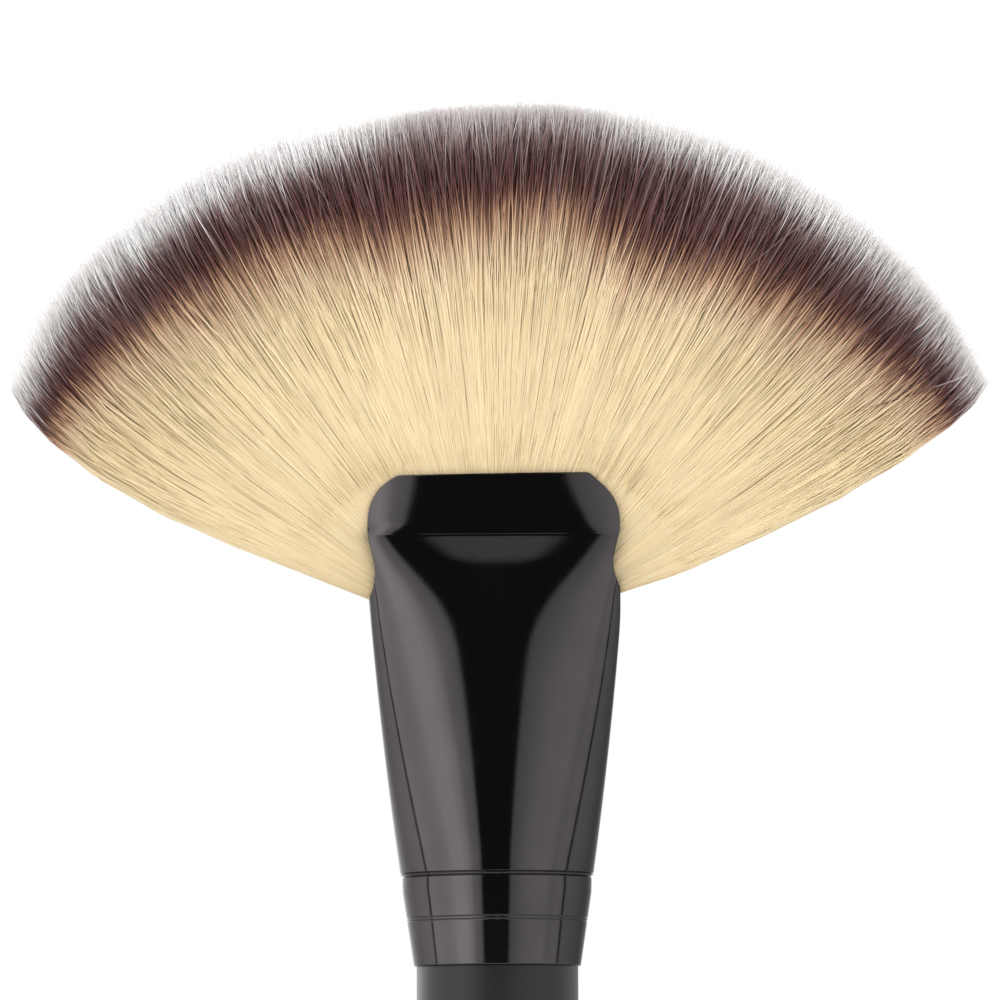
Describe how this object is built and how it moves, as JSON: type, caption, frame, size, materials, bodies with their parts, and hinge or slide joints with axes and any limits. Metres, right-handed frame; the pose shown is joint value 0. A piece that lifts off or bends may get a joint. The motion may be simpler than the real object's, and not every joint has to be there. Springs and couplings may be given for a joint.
{
  "type": "fan duster brush",
  "caption": "Large fan-shaped soft duster brush: cream filaments with a dark band and white tips, a black metal ferrule pressed flat at its mouth, and a matt black turned handle.",
  "frame": {"origin": "centre of the flat end of the handle, the lowest point with the bristles upward", "axes": "+Z along the handle towards the bristles, +X across the width of the fan, +Y through its thickness; the front is at -Y"},
  "size_m": [0.0874, 0.0172, 0.1949],
  "materials": {
    "handle_lacquer": "turned wood, matt black lacquer",
    "ferrule_metal": "drawn aluminium, gloss black",
    "root_resin": "cast amber resin",
    "root_thread": "wound cotton thread",
    "filaments": "soft synthetic filaments, cream with a dark brown band and white tips"
  },
  "bodies": {
    "brush_body": {"handle": "handle_lacquer", "ferrule": "ferrule_metal", "resin_plug": "root_resin", "binding_thread": "root_thread", "root_bundle": "filaments"},
    "bristle_tuft_1": {"bristle_tuft_1": "filaments"},
    "bristle_tuft_2": {"bristle_tuft_2": "filaments"},
    "bristle_tuft_3": {"bristle_tuft_3": "filaments"},
    "bristle_tuft_4": {"bristle_tuft_4": "filaments"},
    "bristle_tuft_5": {"bristle_tuft_5": "filaments"},
    "bristle_tuft_6": {"bristle_tuft_6": "filaments"},
    "bristle_tuft_7": {"bristle_tuft_7": "filaments"}
  },
  "joints": [
    {"name": "bristle_bend_1", "type": "hinge", "parent": "brush_body", "child": "bristle_tuft_1", "pos_m": [-0.01796, 0, 0.15868], "axis": [0.6328, 0, 0.7743], "range_deg": [-25, 25], "stiffness_Nm_per_rad": 0.005},
    {"name": "bristle_bend_2", "type": "hinge", "parent": "brush_body", "child": "bristle_tuft_2", "pos_m": [-0.01292, 0, 0.16327], "axis": [0.8307, 0, 0.5567], "range_deg": [-25, 25], "stiffness_Nm_per_rad": 0.005},
    {"name": "bristle_bend_3", "type": "hinge", "parent": "brush_body", "child": "bristle_tuft_3", "pos_m": [-0.00675, 0, 0.1662], "axis": [0.9567, 0, 0.2909], "range_deg": [-25, 25], "stiffness_Nm_per_rad": 0.005},
    {"name": "bristle_bend_4", "type": "hinge", "parent": "brush_body", "child": "bristle_tuft_4", "pos_m": [0, 0, 0.1672], "axis": [1, 0, 0], "range_deg": [-25, 25], "stiffness_Nm_per_rad": 0.005},
    {"name": "bristle_bend_5", "type": "hinge", "parent": "brush_body", "child": "bristle_tuft_5", "pos_m": [0.00675, 0, 0.1662], "axis": [0.9567, 0, -0.2909], "range_deg": [-25, 25], "stiffness_Nm_per_rad": 0.005},
    {"name": "bristle_bend_6", "type": "hinge", "parent": "brush_body", "child": "bristle_tuft_6", "pos_m": [0.01292, 0, 0.16327], "axis": [0.8307, 0, -0.5567], "range_deg": [-25, 25], "stiffness_Nm_per_rad": 0.005},
    {"name": "bristle_bend_7", "type": "hinge", "parent": "brush_body", "child": "bristle_tuft_7", "pos_m": [0.01796, 0, 0.15868], "axis": [0.6328, 0, -0.7743], "range_deg": [-25, 25], "stiffness_Nm_per_rad": 0.005}
  ]
}
